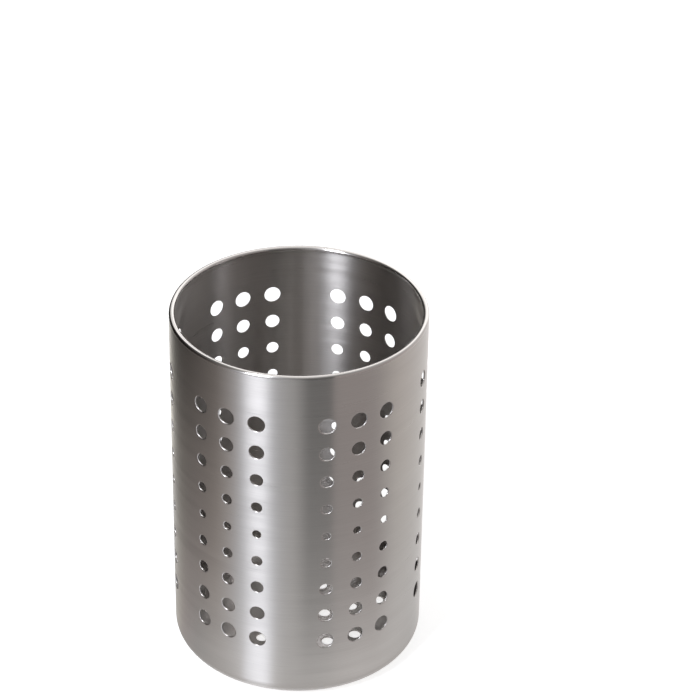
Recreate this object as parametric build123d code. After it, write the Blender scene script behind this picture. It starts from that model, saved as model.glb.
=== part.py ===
from build123d import *
import math
import os

# Perforated stainless steel utensil crock: a rolled wall with a beaded rim, welded
# onto a drawn base with drain holes, standing on four non-slip pads.
# Millimetres and degrees. The origin is on the ground under the middle of the drum,
# +Z is up and the front faces -Y. Turns about Z are counted from +X towards +Y.

# Drum
drum_diameter = 120.0
steel_height = 180.0
wall_sheet = 0.6

# Rim: the wall's top edge rolled inward round a hollow
rim_hollow = 1.6
rim_roll_turn = 270.0

# Holes punched in the wall: groups of columns, each column small in the middle
group_count = 6
columns_per_group = 3
row_count = 9
group_turn = 0.0
column_pitch = 15.2
rim_to_first_row = 26.6
base_to_last_row = 33.1
middle_row_hole = 4.0
hole_growth_per_row = 1.0

# Base: a drawn dish whose lip is butt welded to the wall
base_sheet = 0.6
corner_radius = 8.0
lip_height = 6.0
foot_ring_width = 1.5
floor_step_width = 2.5
floor_rise = 0.6

# Drain holes on a square grid, turned by the angle at which the base was welded on
drain_hole = 5.8
drain_margin = 2.0
drain_grid_turn = -20.1
drain_sites = {(1, 1), (1, 2), (2, 2), (0, 3), (3, 3)}
grid_reach = 3

# Non-slip pads stuck under the floor, between the outermost drain holes
pad_count = 4
pad_diameter = 10.0
pad_drop = 1.2
pad_edge_radius = 0.5
pad_inset = 1.0

# How far a cutting tool runs past each face
cut_overrun = 2.0

# Worked out from the sizes above
drum_radius = drum_diameter / 2
steel_bottom = pad_drop
rim_top = steel_bottom + steel_height
bead_radius = rim_hollow / 2 + wall_sheet
bead_centre_radius = drum_radius - bead_radius
bead_centre_height = rim_top - bead_radius
weld_height = steel_bottom + corner_radius + lip_height
first_row_height = rim_top - rim_to_first_row
last_row_height = steel_bottom + base_to_last_row
row_pitch = (first_row_height - last_row_height) / (row_count - 1)
column_turn = math.degrees(column_pitch / drum_radius)
floor_radius = drum_radius - corner_radius - foot_ring_width - floor_step_width
floor_underside = steel_bottom + floor_rise
drain_reach = floor_radius - drain_margin - drain_hole / 2
drain_grid_pitch = drain_reach / math.hypot(grid_reach, grid_reach)
pad_circle_radius = floor_radius - pad_inset - pad_diameter / 2


def point(radius, height):
    """A point of a section that is spun about Z."""
    return Vector(radius, height)


def point_on_bead(radius, turn):
    """A point round the bead's centre, at 0 on its outer side and at 90 on its top."""
    angle = math.radians(turn)
    return point(
        bead_centre_radius + radius * math.cos(angle),
        bead_centre_height + radius * math.sin(angle),
    )


def column_turns():
    """The turn of every column of holes, group by group."""
    middle_column = (columns_per_group - 1) / 2
    return [
        group_turn + group * 360 / group_count + (column - middle_column) * column_turn
        for group in range(group_count)
        for column in range(columns_per_group)
    ]


def facing_out(turn, radius, height):
    """A plane at a place round the drum, its normal pointing straight out."""
    outward = Vector(1, 0, 0).rotate(Axis.Z, turn)
    return Plane(outward * radius + Vector(0, 0, height), z_dir=outward)


def make_wall_shell():
    """The perforated wall, rolled from sheet, with its top edge rolled into a bead."""
    inner_radius = drum_radius - wall_sheet
    hollow_radius = rim_hollow / 2
    half_roll = rim_roll_turn / 2
    outer_end = point_on_bead(bead_radius, rim_roll_turn)
    hollow_end = point_on_bead(hollow_radius, rim_roll_turn)
    with BuildPart() as wall:
        # The section lies in the YZ plane, so that the closing line of the spun wall
        # runs down the plain strip at the back.
        with BuildSketch(Plane.YZ):
            with BuildLine():
                Line(point(inner_radius, weld_height), point(drum_radius, weld_height))
                Line(point(drum_radius, weld_height), point(drum_radius, bead_centre_height))
                ThreePointArc(
                    point(drum_radius, bead_centre_height),
                    point_on_bead(bead_radius, half_roll),
                    outer_end,
                )
                Line(outer_end, hollow_end)
                ThreePointArc(
                    hollow_end,
                    point_on_bead(hollow_radius, half_roll),
                    point(inner_radius, bead_centre_height),
                )
                Line(point(inner_radius, bead_centre_height), point(inner_radius, weld_height))
            make_face()
        revolve(axis=Axis.Z)

        middle_row = (row_count - 1) / 2
        tool_start = inner_radius - cut_overrun
        tool_length = wall_sheet + 2 * cut_overrun
        for row in range(row_count):
            height = first_row_height - row * row_pitch
            diameter = middle_row_hole + abs(row - middle_row) * hole_growth_per_row
            with Locations(*[facing_out(turn, tool_start, height) for turn in column_turns()]):
                Cylinder(
                    diameter / 2,
                    tool_length,
                    align=(Align.CENTER, Align.CENTER, Align.MIN),
                    mode=Mode.SUBTRACT,
                )
    return wall.part


def drain_places(height):
    """The place of every drain hole's tool: the chosen crossings of the turned grid."""
    steps = range(-grid_reach, grid_reach + 1)
    return [
        Vector(along * drain_grid_pitch, across * drain_grid_pitch, height).rotate(
            Axis.Z, drain_grid_turn
        )
        for along in steps
        for across in steps
        if (min(abs(along), abs(across)), max(abs(along), abs(across))) in drain_sites
    ]


def make_base_pan():
    """The drawn base: lip, rounded corner, foot ring and raised floor with drain holes."""
    inner_radius = drum_radius - base_sheet
    corner_centre_radius = drum_radius - corner_radius
    corner_centre_height = steel_bottom + corner_radius
    inner_corner_radius = corner_radius - base_sheet
    ring_inner_radius = corner_centre_radius - foot_ring_width
    with BuildPart() as base:
        with BuildSketch(Plane.YZ):
            with BuildLine():
                Line(point(inner_radius, weld_height), point(drum_radius, weld_height))
                Line(point(drum_radius, weld_height), point(drum_radius, corner_centre_height))
                RadiusArc(
                    point(drum_radius, corner_centre_height),
                    point(corner_centre_radius, steel_bottom),
                    corner_radius,
                )
                Polyline(
                    point(corner_centre_radius, steel_bottom),
                    point(ring_inner_radius, steel_bottom),
                    point(floor_radius, floor_underside),
                    point(0, floor_underside),
                    point(0, floor_underside + base_sheet),
                    point(floor_radius, floor_underside + base_sheet),
                    point(ring_inner_radius, steel_bottom + base_sheet),
                    point(corner_centre_radius, steel_bottom + base_sheet),
                )
                RadiusArc(
                    point(corner_centre_radius, steel_bottom + base_sheet),
                    point(inner_radius, corner_centre_height),
                    -inner_corner_radius,
                )
                Line(point(inner_radius, corner_centre_height), point(inner_radius, weld_height))
            make_face()
        revolve(axis=Axis.Z)

        tool_length = base_sheet + 2 * cut_overrun
        with Locations(*drain_places(floor_underside - cut_overrun)):
            Cylinder(
                drain_hole / 2,
                tool_length,
                align=(Align.CENTER, Align.CENTER, Align.MIN),
                mode=Mode.SUBTRACT,
            )
    return base.part


def make_foot_pad(number):
    """One pad: a disc stuck to the floor's underside, its lower edge rounded."""
    turn = drain_grid_turn + number * 360 / pad_count
    place = Vector(pad_circle_radius, 0, 0).rotate(Axis.Z, turn)
    with BuildPart() as pad:
        with Locations(place):
            Cylinder(
                pad_diameter / 2,
                floor_underside,
                align=(Align.CENTER, Align.CENTER, Align.MIN),
            )
        fillet(pad.edges().group_by(Axis.Z)[0], pad_edge_radius)
    return pad.part


def make_parts():
    """Every piece of the crock by its name."""
    parts = {"wall_shell": make_wall_shell(), "base_pan": make_base_pan()}
    for number in range(pad_count):
        parts[f"foot_pad_{number + 1}"] = make_foot_pad(number)
    return parts


os.makedirs("parts", exist_ok=True)
for name, shape in make_parts().items():
    export_step(shape, f"parts/{name}.step")
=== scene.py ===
import math
from functools import partial

import bmesh
import bpy
import numpy as np
from mathutils import Matrix, Vector


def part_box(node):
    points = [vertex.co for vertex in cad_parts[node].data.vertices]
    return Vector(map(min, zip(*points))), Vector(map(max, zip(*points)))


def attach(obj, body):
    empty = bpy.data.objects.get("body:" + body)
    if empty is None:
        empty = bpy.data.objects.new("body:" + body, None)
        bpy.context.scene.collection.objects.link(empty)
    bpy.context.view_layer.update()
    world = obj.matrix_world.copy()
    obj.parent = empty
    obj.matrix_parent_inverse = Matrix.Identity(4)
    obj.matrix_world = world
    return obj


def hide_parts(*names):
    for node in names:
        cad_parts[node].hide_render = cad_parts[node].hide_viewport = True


# A perforated stainless steel utensil crock in a plain white studio.
# The wall and the base are made as a sheet metal worker makes them: Geometry Nodes punch
# a flat blank, give it its thickness, and then roll the wall and draw the base to shape.
# Metres. Turns about Z are counted from +X towards +Y, and the front faces -Y.

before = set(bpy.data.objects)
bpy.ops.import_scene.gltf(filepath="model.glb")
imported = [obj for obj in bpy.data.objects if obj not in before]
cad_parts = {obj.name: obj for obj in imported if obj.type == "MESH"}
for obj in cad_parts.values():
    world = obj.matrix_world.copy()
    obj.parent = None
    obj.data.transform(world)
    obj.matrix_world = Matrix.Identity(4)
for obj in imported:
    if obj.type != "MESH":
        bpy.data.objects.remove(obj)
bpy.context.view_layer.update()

MM = 0.001

# Places read from the fixed frame
wall_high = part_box("wall_shell")[1]
base_low, base_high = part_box("base_pan")
drum_radius = wall_high.x
rim_top = wall_high.z
weld_height = base_high.z
steel_bottom = base_low.z

# Sheet, and the rim rolled inward round a hollow
sheet = 0.6 * MM
rim_hollow = 1.6 * MM
rim_roll_turn = math.radians(270)
bead_radius = rim_hollow / 2 + sheet
bead_centre_radius = drum_radius - bead_radius
bead_centre_height = rim_top - bead_radius

# Holes in the wall: groups of columns, each column small in its middle row
groups = 6
columns = 3
rows = 9
column_pitch = 15.2 * MM
rim_to_first_row = 26.6 * MM
base_to_last_row = 33.1 * MM
middle_row_hole = 4.0 * MM
hole_growth_per_row = 1.0 * MM
last_row_height = steel_bottom + base_to_last_row
row_pitch = (rim_top - rim_to_first_row - last_row_height) / (rows - 1)

# A punch draws the edge of its hole in a little on the side that it enters
punch_roll = 0.45 * MM
punch_roll_depth = 0.28 * MM

# Drawn base
corner_radius = 8.0 * MM
foot_ring_width = 1.5 * MM
floor_step_width = 2.5 * MM
floor_rise = 0.6 * MM
corner_centre_radius = drum_radius - corner_radius
ring_inner_radius = corner_centre_radius - foot_ring_width
floor_radius = ring_inner_radius - floor_step_width
floor_underside = steel_bottom + floor_rise

# Drain holes on a square grid, turned by the angle at which the base was welded on. A site is
# so many steps along and across from the middle, and stands for all its mirror images.
drain_hole = 5.8 * MM
drain_margin = 2.0 * MM
drain_grid_turn = math.radians(-20.1)
drain_grid_steps = 3
drain_sites = [(1, 1), (1, 2), (2, 2), (0, 3), (3, 3)]
drain_reach = floor_radius - drain_margin - drain_hole / 2
drain_pitch = drain_reach / math.hypot(drain_grid_steps, drain_grid_steps)

# Pads stuck under the floor
pad_count = 4
pad_radius = 5.0 * MM
pad_edge_radius = 0.5 * MM
pad_inset = 1.0 * MM
pad_film = 0.15 * MM
pad_film_inset = 0.2 * MM
pad_circle_radius = floor_radius - pad_inset - pad_radius

# How finely the round shapes are divided
facets_per_tile_side = 7
facets_per_half_strip = 4
facets_below_tiles = 2
facets_above_tiles = 3
approach_rings = 2
punch_roll_rings = 3
bead_facets = 14
corner_facets = 10
step_facets = 4
drain_facets = 28
pad_facets = 64
pad_edge_facets = 5
sheet_facets_round = groups * (columns * facets_per_tile_side + 2 * facets_per_half_strip)

# Points nearer than this are welded into one, and edges sharper than this stay crisp
weld_distance = 0.002 * MM
crisp_angle = math.radians(35)
# A corner of the mesh that faces within this angle of the true surface takes its direction
true_angle = math.radians(9)

# The camera stands where the photograph was taken from, at the front and above
camera_elevation = math.radians(31.575)
camera_yaw = math.radians(1.619)
camera_roll = math.radians(0.957)
camera_place = Vector((52.96, -1033.30, 794.91)) * MM
camera_lens = 134.54
camera_sensor_width = 36.0
camera_sees_from, camera_sees_to = 0.05, 20.0


def add(tree, kind, inputs=(), give=0, **settings):
    """Adds a node with its settings, links or sets its inputs, and returns one output.

    A list among the inputs is linked to one socket that takes them all."""
    made = tree.nodes.new(kind)
    for name, value in settings.items():
        setattr(made, name, value)
    pairs = inputs.items() if isinstance(inputs, dict) else enumerate(inputs)
    for key, value in pairs:
        for part in value if isinstance(value, list) else [value]:
            if isinstance(part, bpy.types.NodeSocket):
                tree.links.new(part, made.inputs[key])
            else:
                made.inputs[key].default_value = part
    return made.outputs[give]


def new_form(name, sizes):
    """An empty geometry tree with a named input for each size: its node maker and its inputs."""
    tree = bpy.data.node_groups.new(name, "GeometryNodeTree")
    for size, value in sizes.items():
        is_material = isinstance(value, bpy.types.Material)
        kind = "NodeSocketMaterial" if is_material else "NodeSocketFloat"
        tree.interface.new_socket(size, in_out="INPUT", socket_type=kind)
    tree.interface.new_socket("Geometry", in_out="OUTPUT", socket_type="NodeSocketGeometry")
    source = tree.nodes.new("NodeGroupInput")
    return partial(add, tree), {size: source.outputs[size] for size in sizes}


def close_form(node, geometry, size):
    """Ends a tree: real geometry, smooth but for its crisp edges, in its material."""
    real = node("GeometryNodeRealizeInstances", [geometry])
    welded = node("GeometryNodeMergeByDistance", {"Geometry": real, "Distance": weld_distance})
    smooth = node("GeometryNodeSetShadeSmooth", [welded])
    bend = node("GeometryNodeInputMeshEdgeAngle")
    crisp = node("FunctionNodeCompare", [bend, crisp_angle], operation="GREATER_THAN")
    smooth = node("GeometryNodeSetShadeSmooth", [smooth, crisp, False], domain="EDGE")
    painted = node("GeometryNodeSetMaterial", {"Geometry": smooth, "Material": size["Material"]})
    end = painted.node.id_data.nodes.new("NodeGroupOutput")
    painted.node.id_data.links.new(painted, end.inputs["Geometry"])
    return painted.node.id_data


def put_in_scene(name, data):
    """A new object of the scene that shows a mesh, a lamp or a camera."""
    made = bpy.data.objects.new(name, data)
    bpy.context.scene.collection.objects.link(made)
    return made


def bake(name, tree, sizes):
    """The tree's result as a plain mesh object at the origin, with no modifier left on it."""
    piece = put_in_scene(name, bpy.data.meshes.new(name))
    modifier = piece.modifiers.new("form", "NODES")
    modifier.node_group = tree
    for item in tree.interface.items_tree:
        if item.in_out == "INPUT":
            modifier[item.identifier] = sizes[item.name]
    depsgraph = bpy.context.evaluated_depsgraph_get()
    made = bpy.data.meshes.new_from_object(piece.evaluated_get(depsgraph), depsgraph=depsgraph)
    piece.modifiers.remove(modifier)
    piece.data = made
    made.name = name
    return piece


def spread(node, count, stretches):
    """A length that grows as a count runs through stretches of (steps, length)."""
    total, start = None, 0
    for steps, length in stretches:
        part = node("ShaderNodeMapRange", [count, float(start), float(start + steps), 0.0, length])
        total = part if total is None else node("ShaderNodeMath", [total, part])
        start += steps
    return total


def round_the_axis(node, turn, radius, level):
    """A point at a turn about Z, a distance out from it and a level."""
    x = node("ShaderNodeMath", [turn], operation="COSINE")
    x = node("ShaderNodeMath", [x, radius], operation="MULTIPLY")
    y = node("ShaderNodeMath", [turn], operation="SINE")
    y = node("ShaderNodeMath", [y, radius], operation="MULTIPLY")
    return node("ShaderNodeCombineXYZ", [x, y, level])


def punched_grid(node, name, across, inward):
    """A grid whose own coordinates, 0 to 1 across and 0 to 1 towards a hole, it remembers."""
    grid = node("GeometryNodeMeshGrid", [1.0, 1.0, across + 1, inward + 1])
    keep = node("GeometryNodeCaptureAttribute").node
    keep.capture_items.new("VECTOR", name)
    keep.id_data.links.new(grid, keep.inputs["Geometry"])
    keep.id_data.links.new(node("GeometryNodeInputPosition"), keep.inputs[name])
    shifted = node("ShaderNodeVectorMath", [keep.outputs[name], (0.5, 0.5, 0.0)])
    return keep.outputs["Geometry"], node("ShaderNodeSeparateXYZ", [shifted]).node.outputs


def on_centres(node, grid, centres):
    """One copy of a grid for each centre, each knowing its own centre."""
    keep = node("GeometryNodeCaptureAttribute").node
    keep.capture_items.new("VECTOR", "centre")
    keep.id_data.links.new(centres, keep.inputs["Geometry"])
    keep.id_data.links.new(node("GeometryNodeInputPosition"), keep.inputs["centre"])
    copies = node("GeometryNodeInstanceOnPoints", {
        "Points": keep.outputs["Geometry"], "Instance": grid,
    })
    return node("GeometryNodeRealizeInstances", [copies]), keep.outputs["centre"]


def punched_edge(node, size, angle, rolling, hole_radius):
    """A point on the drawn-in edge of a hole.

    Rolling is 0 where the edge leaves the flat sheet and 90 degrees where it meets the hole's side."""
    roll_out = node("ShaderNodeMath", [rolling], operation="SINE")
    roll_out = node("ShaderNodeMath", [1.0, roll_out], operation="SUBTRACT")
    ring_radius = node("ShaderNodeMath", [
        roll_out, size["Punch roll"], hole_radius,
    ], operation="MULTIPLY_ADD")
    sunk = node("ShaderNodeMath", [rolling], operation="COSINE")
    sunk = node("ShaderNodeMath", [sunk, 1.0], operation="SUBTRACT")
    sunk = node("ShaderNodeMath", [sunk, size["Punch roll depth"]], operation="MULTIPLY")
    return round_the_axis(node, angle, ring_radius, sunk)


def thicken(node, size, blank):
    """The blank and its back, one sheet behind, joined round every edge."""
    extruded = node("GeometryNodeExtrudeMesh", {
        "Mesh": blank, "Offset Scale": 0.0, "Individual": False,
    })
    at = node("ShaderNodeSeparateXYZ", [node("GeometryNodeInputPosition")]).node.outputs
    behind = node("ShaderNodeMath", [size["Sheet"], -1.0], operation="MULTIPLY")
    behind = node("ShaderNodeCombineXYZ", [at[0], at[1], behind])
    back = node("GeometryNodeSetPosition", {
        "Geometry": extruded,
        "Selection": extruded.node.outputs["Top"],
        "Position": behind,
    })
    back = node("GeometryNodeFlipFaces", [back])
    return node("GeometryNodeJoinGeometry", [[blank, back]])


def keep_blank_place(node, geometry, along, up):
    """Stores where each corner lay on the flat blank, for the brush lines to follow."""
    place = node("ShaderNodeCombineXYZ", [along, up])
    return node("GeometryNodeStoreNamedAttribute", {
        "Geometry": geometry, "Name": "blank", "Value": place,
    }, data_type="FLOAT2", domain="CORNER")


def wall_blank(node, size):
    """One sector of the flat blank: plain sheet with a window, and a tile for each hole in it."""
    side = facets_per_tile_side
    strip = facets_per_half_strip
    block_width = node("ShaderNodeMath", [size["Column pitch"], float(columns)], operation="MULTIPLY")
    block_height = node("ShaderNodeMath", [size["Row pitch"], float(rows)], operation="MULTIPLY")
    bead_length = node("ShaderNodeMath", [size["Bead radius"], size["Roll turn"]], operation="MULTIPLY")

    across = columns * side + 2 * strip
    up = facets_below_tiles + rows * side + facets_above_tiles + bead_facets
    plain = node("GeometryNodeMeshGrid", [float(across), float(up), across + 1, up + 1])
    middle = (across / 2, up / 2, 0.0)
    count = node("ShaderNodeVectorMath", [node("GeometryNodeInputPosition"), middle])
    count = node("ShaderNodeSeparateXYZ", [count]).node.outputs
    along = spread(node, count[0], [
        (strip, size["Half strip"]),
        (columns * side, block_width),
        (strip, size["Half strip"]),
    ])
    height = spread(node, count[1], [
        (facets_below_tiles, size["Plain below"]),
        (rows * side, block_height),
        (facets_above_tiles, size["Plain above"]),
        (bead_facets, bead_length),
    ])
    laid = node("ShaderNodeCombineXYZ", [along, height])
    plain = node("GeometryNodeSetPosition", {"Geometry": plain, "Position": laid})

    at = node("ShaderNodeSeparateXYZ", [node("GeometryNodeInputPosition")]).node.outputs
    block_right = node("ShaderNodeMath", [size["Half strip"], block_width])
    block_top = node("ShaderNodeMath", [size["Plain below"], block_height])
    inside = node("FunctionNodeCompare", [at[0], size["Half strip"]], operation="GREATER_THAN")
    for value, limit, sense in [
        (at[0], block_right, "LESS_THAN"),
        (at[1], size["Plain below"], "GREATER_THAN"),
        (at[1], block_top, "LESS_THAN"),
    ]:
        also = node("FunctionNodeCompare", [value, limit], operation=sense)
        inside = node("FunctionNodeBooleanMath", [inside, also])
    plain = node("GeometryNodeDeleteGeometry", [plain, inside], domain="FACE")

    # A tile is a grid bent from its four sides in to the edge of its hole
    tile, count = punched_grid(node, "spot", 4 * side, approach_rings + punch_roll_rings)
    step_x = node("ShaderNodeMath", [size["Column pitch"], float(columns - 1)], operation="MULTIPLY")
    step_y = node("ShaderNodeMath", [size["Row pitch"], float(rows - 1)], operation="MULTIPLY")
    centres = node("GeometryNodeMeshGrid", [step_x, step_y, columns, rows])
    tiles, centre = on_centres(node, tile, centres)
    sides = node("ShaderNodeMath", [count[0], 4.0], operation="MULTIPLY")
    # Going once round the tile, each axis waits at one end, crosses over, waits and comes back
    edge = []
    for lead in (1.5, 0.5):
        wave = node("ShaderNodeMath", [sides, lead])
        wave = node("ShaderNodeMath", [wave, 2.0], operation="PINGPONG")
        edge.append(node("ShaderNodeMapRange", [wave, 0.5, 1.5, -0.5, 0.5]))
    edge = node("ShaderNodeCombineXYZ", edge)
    tile_size = node("ShaderNodeCombineXYZ", [size["Column pitch"], size["Row pitch"]])
    edge = node("ShaderNodeVectorMath", [edge, tile_size], operation="MULTIPLY")

    angle = node("ShaderNodeMapRange", [sides, 0.0, 4.0, -math.pi / 4, 7 * math.pi / 4])
    centre_height = node("ShaderNodeSeparateXYZ", [centre], give="Y")
    rows_away = node("ShaderNodeMath", [centre_height, size["Row pitch"]], operation="DIVIDE")
    rows_away = node("ShaderNodeMath", [rows_away], operation="ABSOLUTE")
    hole = node("ShaderNodeMath", [
        rows_away, size["Hole growth"], size["Smallest hole"],
    ], operation="MULTIPLY_ADD")
    hole_radius = node("ShaderNodeMath", [hole, 0.5], operation="MULTIPLY")
    flat_share = approach_rings / (approach_rings + punch_roll_rings)
    nearing = node("ShaderNodeMapRange", [count[1], 0.0, flat_share, 0.0, 1.0])
    rolling = node("ShaderNodeMapRange", [count[1], flat_share, 1.0, 0.0, math.pi / 2])
    rim = punched_edge(node, size, angle, rolling, hole_radius)
    spot = node("ShaderNodeMix", {"Factor": nearing, 4: edge, 5: rim}, give=1, data_type="VECTOR")
    block_middle = [
        node("ShaderNodeMath", [block_width, 0.5, size["Half strip"]], operation="MULTIPLY_ADD"),
        node("ShaderNodeMath", [block_height, 0.5, size["Plain below"]], operation="MULTIPLY_ADD"),
    ]
    spot = node("ShaderNodeVectorMath", [spot, centre])
    spot = node("ShaderNodeVectorMath", [spot, node("ShaderNodeCombineXYZ", block_middle)])
    tiles = node("GeometryNodeSetPosition", {"Geometry": tiles, "Position": spot})

    sector = node("GeometryNodeJoinGeometry", [[plain, tiles]])
    width = node("ShaderNodeMath", [size["Half strip"], 2.0, block_width], operation="MULTIPLY_ADD")
    straight = node("ShaderNodeMath", [block_top, size["Plain above"]])
    return sector, width, straight


def rolled_wall(sizes):
    """The wall: sectors side by side, thickened, rolled round the drum and round the bead."""
    node, size = new_form("rolled_wall", sizes)
    sector, width, straight = wall_blank(node, size)
    step = node("ShaderNodeCombineXYZ", [width])
    line = node("GeometryNodeMeshLine", {"Count": groups, "Offset": step})
    blank = node("GeometryNodeInstanceOnPoints", {"Points": line, "Instance": sector})
    blank = node("GeometryNodeRealizeInstances", [blank])
    blank = node("GeometryNodeMergeByDistance", {"Geometry": blank, "Distance": weld_distance})
    body = thicken(node, size, blank)

    # The blank's two ends meet at the weld, so they have no end faces
    at = node("ShaderNodeSeparateXYZ", [node("GeometryNodeInputPosition")]).node.outputs
    length = node("ShaderNodeMath", [width, float(groups)], operation="MULTIPLY")
    ends = [
        node("FunctionNodeCompare", {0: at[0], 1: end, "Epsilon": weld_distance}, operation="EQUAL")
        for end in (0.0, length)
    ]
    at_end = node("FunctionNodeBooleanMath", ends, operation="OR")
    body = node("GeometryNodeDeleteGeometry", [body, at_end], domain="FACE")
    body = keep_blank_place(node, body, at[0], at[1])

    # The blank starts and ends in the middle of the plain strip at the back
    turn = node("ShaderNodeMath", [at[0], size["Radius"]], operation="DIVIDE")
    turn = node("ShaderNodeMath", [turn, math.pi / 2])
    past = node("ShaderNodeMath", [at[1], straight], operation="SUBTRACT")
    past = node("ShaderNodeMath", [past, 0.0], operation="MAXIMUM")
    curl = node("ShaderNodeMath", [past, size["Bead radius"]], operation="DIVIDE")
    arm = node("ShaderNodeMath", [size["Bead radius"], at[2]])
    arm_out = node("ShaderNodeMath", [curl], operation="COSINE")
    arm_up = node("ShaderNodeMath", [curl], operation="SINE")
    bead_centre = node("ShaderNodeMath", [size["Radius"], size["Bead radius"]], operation="SUBTRACT")
    radius = node("ShaderNodeMath", [arm, arm_out, bead_centre], operation="MULTIPLY_ADD")
    level = node("ShaderNodeMath", [at[1], straight], operation="MINIMUM")
    level = node("ShaderNodeMath", [level, size["Weld height"]])
    level = node("ShaderNodeMath", [arm, arm_up, level], operation="MULTIPLY_ADD")
    rolled = round_the_axis(node, turn, radius, level)
    body = node("GeometryNodeSetPosition", {"Geometry": body, "Position": rolled})
    return close_form(node, body, size)


def drain_centres(node, size):
    """The crossings of the turned grid where the floor is punched, picked by how far out they lie."""
    lines = 2 * drain_grid_steps + 1
    same_reach = 0.01
    width = node("ShaderNodeMath", [size["Drain pitch"], float(lines - 1)], operation="MULTIPLY")
    grid = node("GeometryNodeMeshGrid", [width, width, lines, lines])
    away = node("ShaderNodeVectorMath", [node("GeometryNodeInputPosition")], give=1, operation="LENGTH")
    away = node("ShaderNodeMath", [away, size["Drain pitch"]], operation="DIVIDE")
    punched = None
    for site in drain_sites:
        here = node("FunctionNodeCompare", {
            0: away, 1: math.hypot(*site), "Epsilon": same_reach,
        }, operation="EQUAL")
        if punched is not None:
            here = node("FunctionNodeBooleanMath", [punched, here], operation="OR")
        punched = here
    plain = node("FunctionNodeBooleanMath", [punched], operation="NOT")
    grid = node("GeometryNodeDeleteGeometry", [grid, plain])
    turned = node("ShaderNodeVectorRotate", {
        "Vector": node("GeometryNodeInputPosition"),
        "Angle": size["Drain grid turn"],
    }, rotation_type="Z_AXIS")
    return node("GeometryNodeSetPosition", {"Geometry": grid, "Position": turned})


def pan_blank(node, size):
    """The base's flat blank: punched floor, and rings outside it for the step, ring, corner and lip."""
    centres = drain_centres(node, size)
    hole_radius = node("ShaderNodeMath", [size["Drain hole"], 0.5], operation="MULTIPLY")
    cut_radius = node("ShaderNodeMath", [hole_radius, size["Punch roll"]])
    cut = node("GeometryNodeCurvePrimitiveCircle", {"Resolution": drain_facets, "Radius": cut_radius})
    cuts = node("GeometryNodeInstanceOnPoints", {"Points": centres, "Instance": cut})
    cuts = node("GeometryNodeRealizeInstances", [cuts])
    outline = node("GeometryNodeCurvePrimitiveCircle", {
        "Resolution": sheet_facets_round, "Radius": size["Floor radius"],
    })
    outlines = node("GeometryNodeJoinGeometry", [[outline, cuts]])
    floor = node("GeometryNodeFillCurve", [outlines])

    collar, count = punched_grid(node, "spot", drain_facets, punch_roll_rings)
    collars, centre = on_centres(node, collar, centres)
    angle = node("ShaderNodeMath", [count[0], 2 * math.pi], operation="MULTIPLY")
    rolling = node("ShaderNodeMath", [count[1], math.pi / 2], operation="MULTIPLY")
    spot = punched_edge(node, size, angle, rolling, hole_radius)
    spot = node("ShaderNodeVectorMath", [spot, centre])
    collars = node("GeometryNodeSetPosition", {"Geometry": collars, "Position": spot})

    corner_length = node("ShaderNodeMath", [size["Corner radius"], math.pi / 2], operation="MULTIPLY")
    stretches = [
        (step_facets, size["Step width"]),
        (1, size["Ring width"]),
        (corner_facets, corner_length),
        (1, size["Lip height"]),
    ]
    out = sum(steps for steps, length in stretches)
    rings, count = punched_grid(node, "ring", sheet_facets_round, out)
    outward = node("ShaderNodeMapRange", [count[1], 0.0, 1.0, float(out), 0.0])
    flat_radius = node("ShaderNodeMath", [spread(node, outward, stretches), size["Floor radius"]])
    turn = node("ShaderNodeMath", [count[0], 2 * math.pi], operation="MULTIPLY")
    laid = round_the_axis(node, turn, flat_radius, 0.0)
    rings = node("GeometryNodeSetPosition", {"Geometry": rings, "Position": laid})
    blank = node("GeometryNodeJoinGeometry", [[floor, collars, rings]])
    blank = node("GeometryNodeMergeByDistance", {"Geometry": blank, "Distance": weld_distance})
    return blank, corner_length


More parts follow.
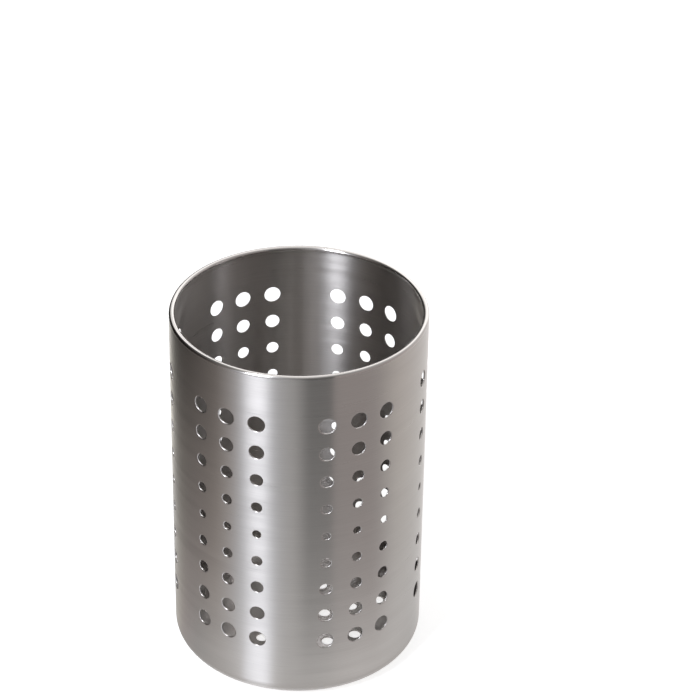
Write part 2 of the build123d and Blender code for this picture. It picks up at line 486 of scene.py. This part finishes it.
def drawn_pan(sizes):
    """The base: its blank thickened, then drawn down at the ring and up round the corner."""
    node, size = new_form("drawn_pan", sizes)
    blank, corner_length = pan_blank(node, size)
    body = thicken(node, size, blank)
    at = node("ShaderNodeSeparateXYZ", [node("GeometryNodeInputPosition")]).node.outputs
    flat = node("ShaderNodeCombineXYZ", [at[0], at[1]])
    out = node("ShaderNodeVectorMath", [flat], give=1, operation="LENGTH")
    body = keep_blank_place(node, body, 0.0, out)

    above_outside = node("ShaderNodeMath", [at[2], size["Sheet"]])
    ring_inner = node("ShaderNodeMath", [size["Floor radius"], size["Step width"]])
    ring_outer = node("ShaderNodeMath", [ring_inner, size["Ring width"]])
    rise = node("ShaderNodeMapRange", [
        out, size["Floor radius"], ring_inner, size["Floor rise"], 0.0,
    ], interpolation_type="SMOOTHSTEP")
    past_ring = node("ShaderNodeMath", [out, ring_outer], operation="SUBTRACT")
    bend = node("ShaderNodeMapRange", [past_ring, 0.0, corner_length, 0.0, math.pi / 2])
    past_corner = node("ShaderNodeMath", [past_ring, corner_length], operation="SUBTRACT")
    lip = node("ShaderNodeMath", [past_corner, 0.0], operation="MAXIMUM")
    arm = node("ShaderNodeMath", [size["Corner radius"], above_outside], operation="SUBTRACT")
    arm_out = node("ShaderNodeMath", [bend], operation="SINE")
    arm_down = node("ShaderNodeMath", [bend], operation="COSINE")
    flat_part = node("ShaderNodeMath", [out, ring_outer], operation="MINIMUM")
    radius = node("ShaderNodeMath", [arm, arm_out, flat_part], operation="MULTIPLY_ADD")
    level = node("ShaderNodeMath", [arm, arm_down], operation="MULTIPLY")
    level = node("ShaderNodeMath", [size["Corner radius"], level], operation="SUBTRACT")
    for part in (rise, lip, size["Steel bottom"]):
        level = node("ShaderNodeMath", [level, part])
    growth = node("ShaderNodeMath", [radius, out], operation="DIVIDE")
    drawn = node("ShaderNodeVectorMath", {0: flat, "Scale": growth}, operation="SCALE")
    drawn = node("ShaderNodeVectorMath", [drawn, node("ShaderNodeCombineXYZ", {"Z": level})])
    body = node("GeometryNodeSetPosition", {"Geometry": body, "Position": drawn})
    return close_form(node, body, size)


def outward_on_wall(points):
    """The direction square to the wall and bead, away from the sheet's middle line, at each point."""
    away = points * (1, 1, 0)
    away /= np.linalg.norm(away, axis=1, keepdims=True)
    bead = points - away * bead_centre_radius - (0, 0, bead_centre_height)
    bead /= np.linalg.norm(bead, axis=1, keepdims=True)
    return np.where(points[:, 2:] > bead_centre_height, bead, away)


def outward_on_pan(points):
    """The direction square to the base's lip, corner, ring and floor at each point."""
    away = points * (1, 1, 0)
    reach = np.maximum(np.linalg.norm(away, axis=1, keepdims=True), weld_distance)
    away /= reach
    corner = points - away * corner_centre_radius - (0, 0, steel_bottom + corner_radius)
    corner /= np.linalg.norm(corner, axis=1, keepdims=True)
    low = np.where(reach > corner_centre_radius, corner, (0, 0, -1))
    return np.where(points[:, 2:] > steel_bottom + corner_radius, away, low)


def true_normals(piece, outward_at):
    """Gives plain sheet its exact direction, so that reflections run straight past the holes."""
    mesh = piece.data
    facing = np.empty(len(mesh.loops) * 3)
    mesh.corner_normals.foreach_get("vector", facing)
    facing = facing.reshape(-1, 3)
    points = np.empty(len(mesh.vertices) * 3)
    mesh.vertices.foreach_get("co", points)
    corners = np.empty(len(mesh.loops), dtype=int)
    mesh.loops.foreach_get("vertex_index", corners)
    exact = outward_at(points.reshape(-1, 3)[corners])
    agree = (facing * exact).sum(axis=1, keepdims=True)
    true = np.where(abs(agree) > math.cos(true_angle), exact * np.sign(agree), facing)
    mesh.normals_split_custom_set(true.tolist())


def make_wall(steel):
    """The perforated wall with its rolled rim."""
    plain_below = last_row_height - row_pitch / 2 - weld_height
    sizes = {
        "Radius": drum_radius,
        "Sheet": sheet,
        "Weld height": weld_height,
        "Column pitch": column_pitch,
        "Row pitch": row_pitch,
        "Half strip": math.pi * drum_radius / groups - columns * column_pitch / 2,
        "Plain below": plain_below,
        "Plain above": bead_centre_height - weld_height - plain_below - rows * row_pitch,
        "Bead radius": bead_radius,
        "Roll turn": rim_roll_turn,
        "Smallest hole": middle_row_hole,
        "Hole growth": hole_growth_per_row,
        "Punch roll": punch_roll,
        "Punch roll depth": punch_roll_depth,
        "Material": steel,
    }
    wall = bake("perforated_wall", rolled_wall(sizes), sizes)
    true_normals(wall, outward_on_wall)
    return wall


def make_pan(steel):
    """The drawn base with its drain holes."""
    sizes = {
        "Sheet": sheet,
        "Steel bottom": steel_bottom,
        "Floor radius": floor_radius,
        "Floor rise": floor_rise,
        "Step width": floor_step_width,
        "Ring width": foot_ring_width,
        "Corner radius": corner_radius,
        "Lip height": weld_height - steel_bottom - corner_radius,
        "Drain hole": drain_hole,
        "Drain pitch": drain_pitch,
        "Drain grid turn": drain_grid_turn,
        "Punch roll": punch_roll,
        "Punch roll depth": punch_roll_depth,
        "Material": steel,
    }
    pan = bake("drawn_base", drawn_pan(sizes), sizes)
    true_normals(pan, outward_on_pan)
    return pan


def lathe(outline, facets):
    """An outline of (radius, height) points spun about Z, as a shape that can still be worked on."""
    shape = bmesh.new()
    points = [shape.verts.new((radius, 0, height)) for radius, height in outline]
    edges = [shape.edges.new(pair) for pair in zip(points, points[1:])]
    bmesh.ops.spin(
        shape, geom=points + edges, axis=(0, 0, 1), cent=(0, 0, 0), angle=2 * math.pi, steps=facets
    )
    bmesh.ops.remove_doubles(shape, verts=shape.verts, dist=weld_distance)
    return shape


def make_pad(number, rubber):
    """One moulded pad on its adhesive film, lathed round its own middle."""
    turn = drain_grid_turn + number * 2 * math.pi / pad_count
    middle = Vector((pad_circle_radius * math.cos(turn), pad_circle_radius * math.sin(turn), 0))
    film_bottom = floor_underside - pad_film
    outline = [(0, 0)]
    for step in range(pad_edge_facets + 1):
        angle = math.pi / 2 * step / pad_edge_facets
        outline.append((
            pad_radius - pad_edge_radius * (1 - math.sin(angle)),
            pad_edge_radius * (1 - math.cos(angle)),
        ))
    film_radius = pad_radius - pad_film_inset
    outline += [(pad_radius, film_bottom), (film_radius, film_bottom), (film_radius, floor_underside)]
    outline.append((0, floor_underside))

    mesh = bpy.data.meshes.new(f"pad_{number + 1}")
    shape = lathe(outline, pad_facets)
    bmesh.ops.recalc_face_normals(shape, faces=shape.faces)
    for edge in shape.edges:
        edge.smooth = len(edge.link_faces) == 2 and edge.calc_face_angle() < crisp_angle
    for face in shape.faces:
        face.smooth = True
    bmesh.ops.translate(shape, verts=shape.verts, vec=middle)
    shape.to_mesh(mesh)
    shape.free()
    mesh.materials.append(rubber)
    return put_in_scene(f"pad_{number + 1}", mesh)


def colour(hex_code):
    """A colour written as sRGB hex, turned to the linear values that a shader takes."""
    parts = [int(hex_code[place:place + 2], 16) / 255 for place in (1, 3, 5)]
    linear = [part / 12.92 if part <= 0.04045 else ((part + 0.055) / 1.055) ** 2.4 for part in parts]
    return (*linear, 1.0)


def new_finish(name):
    """An empty material with its main shader: the material, its node maker and the shader."""
    finish = bpy.data.materials.new(name)
    finish.use_nodes = True
    shader = finish.node_tree.nodes["Principled BSDF"]
    return finish, partial(add, finish.node_tree), shader


def brushed_stainless():
    """Stainless steel sheet, ground with a fine belt along its length before it is rolled.

    The grinding lines run round the drum, so light spreads far up and down it and little
    round it: lamps and dark corners show as upright bands. The steel is a warm grey."""
    line_width = 0.35 * MM
    line_length = 22 * MM
    line_depth = 0.004 * MM
    streak_width = 3.5 * MM
    streak_length = 70 * MM
    # The noise that makes the streaks stays mostly within these two values
    faintest_streak, deepest_streak = 0.3, 0.7
    roughness_in_faintest, roughness_in_deepest = 0.25, 0.29
    roughness_from_lines = 0.06
    roughness_from_weld = 0.07
    weld_full, weld_end = 0.3 * MM, 0.7 * MM
    burnish_left = 0.4
    burnish_blend = 0.3 * MM
    finish, node, shader = new_finish("brushed_stainless_steel")
    place = node("ShaderNodeTexCoord", give="Object")
    at = node("ShaderNodeSeparateXYZ", [place]).node.outputs
    up_blank = node("ShaderNodeSeparateXYZ", [node("ShaderNodeUVMap", uv_map="blank")], give="Y")
    along_sheet = node("ShaderNodeCombineXYZ", [at[0], at[1], up_blank])

    # The real lines are about 0.05 mm apart, drawn coarser here so that they show
    lines_at = node("ShaderNodeVectorMath", [
        along_sheet, (1 / line_length, 1 / line_length, 1 / line_width),
    ], operation="MULTIPLY")
    lines = node("ShaderNodeTexNoise", {
        "Vector": lines_at, "Scale": 1.0, "Detail": 3.0, "Roughness": 0.65,
    })
    streaks_at = node("ShaderNodeVectorMath", [
        along_sheet, (1 / streak_length, 1 / streak_length, 1 / streak_width),
    ], operation="MULTIPLY")
    streaks = node("ShaderNodeTexNoise", {"Vector": streaks_at, "Scale": 1.0, "Detail": 2.0})

    tone = node("ShaderNodeMix", {
        "Factor": lines, "A": colour("#b2aeab"), "B": colour("#c5c1be"),
    }, give="Result", data_type="RGBA")
    shader_links = finish.node_tree.links
    shader_links.new(tone, shader.inputs["Base Color"])
    rough = node("ShaderNodeMapRange", [
        streaks, faintest_streak, deepest_streak, roughness_in_faintest, roughness_in_deepest,
    ])
    rough = node("ShaderNodeMath", [lines, roughness_from_lines, rough], operation="MULTIPLY_ADD")
    # The roller that turns the bead over burnishes it
    bead_start = bead_centre_height - burnish_blend
    bead_full = bead_centre_height + burnish_blend
    burnished = node("ShaderNodeMapRange", [at[2], bead_start, bead_full, 1.0, burnish_left])
    rough = node("ShaderNodeMath", [rough, burnished], operation="MULTIPLY")
    # The weld down the back is ground flush, and takes the lines a little duller
    beside = node("ShaderNodeMath", [at[0]], operation="ABSOLUTE")
    weld = node("ShaderNodeMapRange", [beside, weld_full, weld_end, 1.0, 0.0])
    behind = node("ShaderNodeMath", [at[1], 0.0], operation="GREATER_THAN")
    weld = node("ShaderNodeMath", [weld, behind], operation="MULTIPLY")
    above = node("ShaderNodeMath", [at[2], weld_height], operation="GREATER_THAN")
    weld = node("ShaderNodeMath", [weld, above], operation="MULTIPLY")
    rough = node("ShaderNodeMath", [weld, roughness_from_weld, rough], operation="MULTIPLY_ADD")
    shader_links.new(rough, shader.inputs["Roughness"])
    bump = node("ShaderNodeBump", {"Strength": 0.5, "Distance": line_depth, "Height": lines})
    shader_links.new(bump, shader.inputs["Normal"])

    # The lines run round the drum's axis, and light spreads across them
    round_axis = node("ShaderNodeVectorMath", [(0.0, 0.0, 1.0), place], operation="CROSS_PRODUCT")
    facing = node("ShaderNodeNewGeometry", give="Normal")
    across_lines = node("ShaderNodeVectorMath", [facing, round_axis], operation="CROSS_PRODUCT")
    across_lines = node("ShaderNodeVectorMath", [across_lines], operation="NORMALIZE")
    shader_links.new(across_lines, shader.inputs["Tangent"])
    shader.inputs["Metallic"].default_value = 1.0
    shader.inputs["Anisotropic"].default_value = 1.0
    return finish


def pad_polyurethane():
    """Soft polyurethane, moulded in a finely blasted tool: matte, even and nearly black."""
    grain_size = 0.25 * MM
    grain_depth = 0.02 * MM
    finish, node, shader = new_finish("moulded_polyurethane")
    place = node("ShaderNodeTexCoord", give="Object")
    grain = node("ShaderNodeTexNoise", {"Vector": place, "Scale": 1 / grain_size, "Detail": 3.0})
    tone = node("ShaderNodeMix", {
        "Factor": grain, "A": colour("#2c2c2e"), "B": colour("#3a3a3c"),
    }, give="Result", data_type="RGBA")
    finish.node_tree.links.new(tone, shader.inputs["Base Color"])
    bump = node("ShaderNodeBump", {"Strength": 0.6, "Distance": grain_depth, "Height": grain})
    finish.node_tree.links.new(bump, shader.inputs["Normal"])
    shader.inputs["Roughness"].default_value = 0.75
    shader.inputs["IOR"].default_value = 1.49
    return finish


def seen_straight_on(node):
    """1 for what the camera sees, and what metal or glass reflects or lets through, and 0 for light."""
    path = node("ShaderNodeLightPath").node
    seen = node("ShaderNodeMath", [path.outputs["Is Camera Ray"], path.outputs["Is Glossy Ray"]])
    seen = node("ShaderNodeMath", [seen, path.outputs["Is Transmission Ray"]])
    return node("ShaderNodeMath", [seen, 1.0], operation="MINIMUM")


def white_floor():
    """A white paper sweep: matte, and bright enough to the eye to be white outside the shadow."""
    half_width = 2.5
    # A hair under the pads, so that two surfaces don't lie in one plane
    level = -0.02 * MM
    # The glow and the light that falls on the paper together just reach white
    glow_strength = 0.62
    mesh = bpy.data.meshes.new("paper_sweep")
    signs = [(-1, -1), (1, -1), (1, 1), (-1, 1)]
    corners = [(across * half_width, along * half_width, level) for across, along in signs]
    mesh.from_pydata(corners, [], [(0, 1, 2, 3)])
    finish, node, shader = new_finish("matte_white_paper")
    shader.inputs["Base Color"].default_value = colour("#e4e4e4")
    shader.inputs["Roughness"].default_value = 0.9
    shader.inputs["Specular IOR Level"].default_value = 0.0
    shader.inputs["Emission Color"].default_value = colour("#ffffff")
    glow = node("ShaderNodeMath", [seen_straight_on(node), glow_strength], operation="MULTIPLY")
    finish.node_tree.links.new(glow, shader.inputs["Emission Strength"])
    mesh.materials.append(finish)
    put_in_scene("paper_sweep", mesh)


def paint_bands(ramp, stops, brightest):
    """Sets a ramp's stops: (degrees to the right of the camera's side, level, tint)."""
    elements = ramp.elements
    while len(elements) < len(stops):
        elements.new(0.5)
    for element, (turn, level, tint) in zip(elements, stops):
        element.position = turn / 360 + 0.5
        element.color = [level / brightest * part for part in colour(tint)[:3]] + [1.0]


def painted_light_surround():
    """A glowing surround, no lamp, which only the crock's polished surfaces see: its bands are painted
    light and shade, and they show in the steel as painted reflections.

    It lies close over the floor from the crock's side outwards, rises to walls further out and
    closes overhead. Left of the camera a bright band stands for one tall lit cloth, with darker
    bands for a dark room further left; right of the camera a dark band stands for a black edge,
    then grey, and white at the back. Each band runs the way the wall looks out, so it shows
    upright there. A level of 1 is white. The paint holds each level as a share of the brightest,
    which the glow makes up for."""
    start, far, low, high, facets = 60 * MM, 1.2, MM, 1.6, 96
    brightest = 4.0
    mesh = bpy.data.meshes.new("painted_light_surround")
    shape = lathe([(start, low), (far, low), (far, high), (0, high)], facets)
    shape.to_mesh(mesh)
    shape.free()

    finish, node, shader = new_finish("painted_light_surround")
    at = node("ShaderNodeSeparateXYZ", [node("ShaderNodeTexCoord", give="Object")]).node.outputs
    front = node("ShaderNodeMath", [at[1], -1.0], operation="MULTIPLY")
    turn = node("ShaderNodeMath", [at[0], front], operation="ARCTAN2")
    turn = node("ShaderNodeMath", [turn, camera_yaw], operation="SUBTRACT")
    flat = node("ShaderNodeCombineXYZ", [at[0], at[1]])
    out = node("ShaderNodeVectorMath", [flat], give=1, operation="LENGTH")
    # The wall stands off the axis, so it looks further round at a near place than the axis would
    narrowing = node("ShaderNodeMath", [-drum_radius / 2, out], operation="DIVIDE")
    narrowing = node("ShaderNodeMath", [narrowing, 1.0])
    aimed = node("ShaderNodeMath", [turn, narrowing], operation="DIVIDE")
    aimed = node("ShaderNodeMath", [aimed, 1 / (2 * math.pi), 0.5], operation="MULTIPLY_ADD")
    rising = node("ShaderNodeMath", [at[2], out], operation="ARCTAN2")

    # The bands on the floor, nearest first, then those on the walls, as (degrees, level, tint)
    neutral, warm, pink, cool, olive = "#ffffff", "#fff4ed", "#fff5f3", "#f4f8ff", "#fffcf2"
    near = [
        (-180, 1.0, neutral), (-155, 0.95, olive), (-140, 0.7, pink), (-107, 0.7, neutral),
        (-52, 1.1, neutral), (-46, 1.6, cool), (-27, 1.6, cool), (-18, 1.0, neutral),
        (-8, 0.92, neutral), (60, 1.15, neutral), (90, 1.1, neutral), (140, 0.85, neutral),
    ]
    middle = [
        (-160, 1.4, neutral), (-154, 0.85, olive), (-140, 0.5, olive), (-119, 0.48, pink),
        (-79, 0.65, warm), (-50, 0.97, cool), (-25, 0.92, cool), (-3, 0.8, neutral),
        (11, 0.52, neutral), (75, 0.52, pink), (100, 0.9, neutral), (180, 1.0, neutral),
    ]
    distant = [
        (-162, 2.5, olive), (-156, 1.3, olive), (-149, 0.4, olive), (-131, 0.32, warm),
        (-84, 0.32, warm), (-58, 0.54, warm), (-50, 0.72, cool), (-25, 0.77, cool),
        (-3, 0.63, neutral), (11, 0.24, neutral), (30.5, 0.22, neutral), (31.5, 0.33, pink),
        (75, 0.37, pink), (100, 0.82, olive), (180, 1.05, neutral),
    ]
    floor_edge = [
        (-162, 2.5, neutral), (-156, 1.2, neutral), (-148, 0.06, neutral), (-131, 0.01, warm),
        (-107, 0.01, warm), (-72, 0.19, warm), (-43, 0.92, cool), (-25, 0.92, cool),
        (-18, 0.57, neutral), (-3, 0.5, neutral), (11, 0.16, neutral), (30.5, 0.2, neutral),
        (31.5, 0.55, pink), (75, 0.52, pink), (100, 0.82, pink), (180, 1.1, neutral),
    ]
    walls = [
        (-180, 0.1, neutral), (-144, 0.02, warm), (-84, 0.02, warm), (-58, 0.32, warm),
        (-48, 0.9, cool), (-43, 2.6, cool), (-25, 2.6, cool), (-20, 0.8, cool),
        (8, 0.2, neutral), (30, 0.2, neutral), (32, 0.47, pink), (92, 0.57, pink),
        (138, 1.0, neutral), (146, 2.0, neutral),
    ]
    upper = [
        (-152, 2.0, neutral), (-136, 0.1, neutral), (-60, 0.3, neutral), (-48, 1.0, cool),
        (-43, 2.6, cool), (-25, 2.6, cool), (-20, 0.8, cool), (-10, 0.5, neutral),
        (30, 0.35, neutral), (110, 0.8, neutral), (138, 1.2, neutral), (146, 2.0, neutral),
    ]
    # Next to the crock the glow is a darker grey: a painted shadow, the crock's own shadow on the floor
    # as the steel reflects it. Overhead it glows an even light grey, a painted light from above.
    painted_contact_shadow, overhead = colour("#757473"), colour("#9a9a9a")
    # Each row of bands takes over where the floor runs this far out, or the walls rise this high
    tone = painted_contact_shadow
    for measure, begins, full, bands in [
        (out, 62 * MM, 72 * MM, near),
        (out, 75 * MM, 150 * MM, middle),
        (out, 150 * MM, 240 * MM, distant),
        (out, 290 * MM, 360 * MM, floor_edge),
        (rising, math.radians(1), math.radians(9), walls),
        (rising, math.radians(28), math.radians(40), upper),
    ]:
        ramp = node("ShaderNodeValToRGB", [aimed])
        paint_bands(ramp.node.color_ramp, bands, brightest)
        reached = node("ShaderNodeMapRange", [measure, begins, full, 0.0, 1.0])
        tone = node("ShaderNodeMix", {
            "Factor": reached, "A": tone, "B": ramp,
        }, give="Result", data_type="RGBA")
    reached = node("ShaderNodeMapRange", [rising, math.radians(55), math.radians(75), 0.0, 1.0])
    tone = node("ShaderNodeMix", {
        "Factor": reached, "A": tone, "B": overhead,
    }, give="Result", data_type="RGBA")
    finish.node_tree.links.new(tone, shader.inputs["Emission Color"])
    shader.inputs["Base Color"].default_value = colour("#000000")
    shader.inputs["Specular IOR Level"].default_value = 0.0
    shader.inputs["Emission Strength"].default_value = brightest
    mesh.materials.append(finish)
    surround = put_in_scene("painted_light_surround", mesh)
    surround.visible_camera = False
    surround.visible_diffuse = False
    surround.visible_transmission = False
    surround.visible_shadow = False


def plain_sky(level):
    """White to the eye and in reflections, and an even soft light on everything else."""
    world = bpy.data.worlds.new("white_room")
    world.use_nodes = True
    node = partial(add, world.node_tree)
    strength = node("ShaderNodeMapRange", [seen_straight_on(node), 0.0, 1.0, level, 1.0])
    world.node_tree.links.new(strength, world.node_tree.nodes["Background"].inputs["Strength"])
    world.node_tree.nodes["Background"].inputs["Color"].default_value = colour("#ffffff")
    bpy.context.scene.world = world


def softbox(name, turn, distance, width, low, high, watts):
    """A cool daylight lamp behind a tall white cloth that faces the crock's axis."""
    lamp = bpy.data.lights.new(name, "AREA")
    lamp.color = colour("#f2f6ff")[:3]
    lamp.shape = "RECTANGLE"
    lamp.size = width
    lamp.size_y = high - low
    lamp.energy = watts
    box = put_in_scene(name, lamp)
    angle = math.radians(turn) + camera_yaw
    away = Vector((math.sin(angle), -math.cos(angle), 0))
    place = away * distance + Vector((0, 0, (low + high) / 2))
    facing = away.to_track_quat("Z", "Y").to_matrix().to_4x4()
    box.matrix_world = Matrix.Translation(place) @ facing
    box.visible_camera = False


def make_camera():
    """The photograph's camera."""
    data = bpy.data.cameras.new("camera")
    data.sensor_width = camera_sensor_width
    data.lens = camera_lens
    data.clip_start = camera_sees_from
    data.clip_end = camera_sees_to
    camera = put_in_scene("camera", data)
    turned = (
        Matrix.Rotation(camera_yaw, 4, "Z")
        @ Matrix.Rotation(math.pi / 2 - camera_elevation, 4, "X")
        @ Matrix.Rotation(camera_roll, 4, "Z")
    )
    camera.matrix_world = Matrix.Translation(camera_place) @ turned
    bpy.context.scene.camera = camera


make_camera()
white_floor()
plain_sky(level=0.55)
softbox("tall_softbox", turn=-35.0, distance=0.75, width=0.205, low=0.45, high=1.25, watts=9.8)
painted_light_surround()

steel = brushed_stainless()
rubber = pad_polyurethane()
wall = make_wall(steel)
pan = make_pan(steel)
stands_for = {"wall_shell": wall, "base_pan": pan}
for number in range(pad_count):
    stands_for[f"foot_pad_{number + 1}"] = make_pad(number, rubber)
for name, piece in stands_for.items():
    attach(piece, "root")
    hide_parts(name)

bpy.context.scene.view_settings.view_transform = "Standard"
